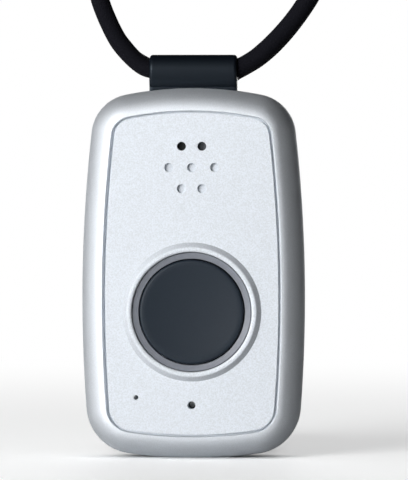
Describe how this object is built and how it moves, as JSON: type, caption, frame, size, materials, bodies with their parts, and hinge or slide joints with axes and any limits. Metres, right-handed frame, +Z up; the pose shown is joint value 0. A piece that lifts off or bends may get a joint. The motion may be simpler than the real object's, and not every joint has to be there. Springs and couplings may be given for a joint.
{
  "type": "mobile medical alert device",
  "caption": "Upright rounded alert pendant with one dished help button in a lit ring, sound holes and a satin sleeve that carries a black neck cord.",
  "frame": {"origin": "middle of the box of the device without its free cord, on the land that it stands on", "axes": "+Z up along the body, +X to the right of one who faces the button, the face looks towards -Y"},
  "size_m": [0.0509, 0.0759, 0.1057],
  "materials": {
    "pearl_shell": "pearl silver paint, fine metallic grain",
    "pearl_plate": "pearl silver paint, fine metallic grain",
    "button_grey": "satin dark grey",
    "light_guide": "translucent grey",
    "black_rubber": "satin black",
    "grey_silicone": "matte",
    "black_plastic": "matte black",
    "white_plastic": "matte",
    "board_green": "solder mask",
    "steel": "brushed",
    "brass": "plain brass",
    "gold_contact": "gold plated",
    "mesh_cloth": "woven dust mesh",
    "foam": "closed cell foam",
    "chip_black": "moulded epoxy",
    "ceramic": "fired ceramic",
    "cell_foil": "laminated foil",
    "lead_wire": "soft insulation",
    "film_orange": "polyimide film",
    "cord_black": "braided textile"
  },
  "bodies": {
    "device": {"front_housing": "pearl_shell", "face_plate": "pearl_plate", "rear_cover": "pearl_shell", "seal_gasket": "grey_silicone", "cover_screws": "steel", "threaded_inserts": "brass", "light_ring": "light_guide", "button_seal": "grey_silicone", "button_retainer": "black_plastic", "ring_board": "board_green", "ring_lights": "white_plastic", "tact_switch": "steel", "speaker": "black_plastic", "speaker_gasket": "foam", "speaker_mesh": "mesh_cloth", "speaker_contacts": "gold_contact", "microphone": "steel", "microphone_boot": "black_rubber", "main_board": "board_green", "board_components": "chip_black", "cellular_module": "steel", "satellite_antenna": "ceramic", "card_holder": "steel", "subscriber_card": "white_plastic", "status_light": "white_plastic", "status_light_pipe": "light_guide", "battery": "cell_foil", "battery_pad": "foam", "battery_connector": "white_plastic", "battery_leads": "lead_wire", "vibration_motor": "steel", "motor_sleeve": "black_rubber", "charge_contacts": "gold_contact", "charge_springs": "gold_contact", "cellular_antenna": "film_orange", "antenna_spring": "gold_contact", "lanyard_loop": "black_rubber", "loop_anchor_pin": "steel", "cord_in_loop": "cord_black", "lanyard_cord_left": "cord_black", "lanyard_cord_right": "cord_black", "lanyard_cord_tail": "cord_black", "lanyard_hank": "cord_black", "hank_tie": "black_rubber", "clasp_socket": "black_plastic", "clasp_plug": "black_plastic"},
    "button": {"button_cap": "button_grey"},
    "switch": {"switch_plunger": "black_plastic"},
    "rotor": {"motor_weight": "steel"}
  },
  "joints": [
    {"name": "button_press", "type": "slide", "parent": "device", "child": "button", "axis": [0, 1, 0], "range_m": [0, 0.0006], "stiffness_N_per_m": 2500},
    {"name": "switch_press", "type": "slide", "parent": "device", "child": "switch", "axis": [0, 1, 0], "range_m": [0, 0.0006]},
    {"name": "motor_spin", "type": "hinge", "parent": "device", "child": "rotor", "pos_m": [0.0149, 0.00255, 0.026], "axis": [0, 0, 1], "continuous": true}
  ],
  "couplings": [
    {"joint": "switch_press", "follows": "button_press", "ratio": 1}
  ]
}
